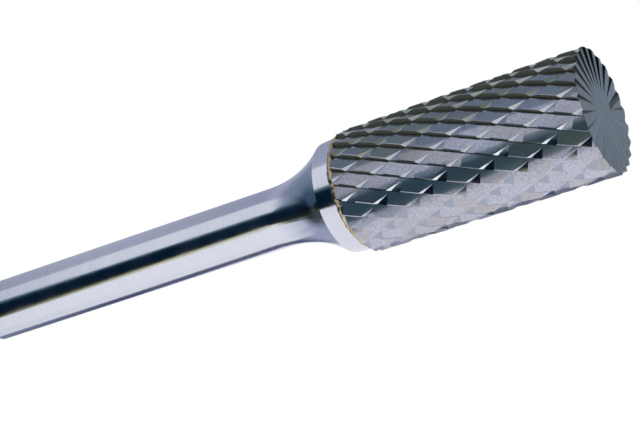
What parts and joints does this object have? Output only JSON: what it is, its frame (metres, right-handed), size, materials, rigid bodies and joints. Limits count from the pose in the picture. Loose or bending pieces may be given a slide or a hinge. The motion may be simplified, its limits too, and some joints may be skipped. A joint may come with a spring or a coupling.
{
  "type": "cylindrical rotary cutter",
  "caption": "Rotary burr with a cylindrical cross-cut carbide head and end teeth, brazed to a round steel shank through a flared neck and a short collar.",
  "frame": {"origin": "centre of the head's end face, on the surface that the cutter stands on", "axes": "+Z along the axis towards the free end of the shank, +X through one tooth's edge at the end face"},
  "size_m": [0.012, 0.012, 0.07],
  "materials": {
    "steel": "ground, bright",
    "brazing_alloy": "as brazed",
    "carbide": "ground tungsten carbide"
  },
  "bodies": {
    "root": {"steel_shank": "steel", "braze_joint": "brazing_alloy", "carbide_head": "carbide"}
  },
  "joints": []
}
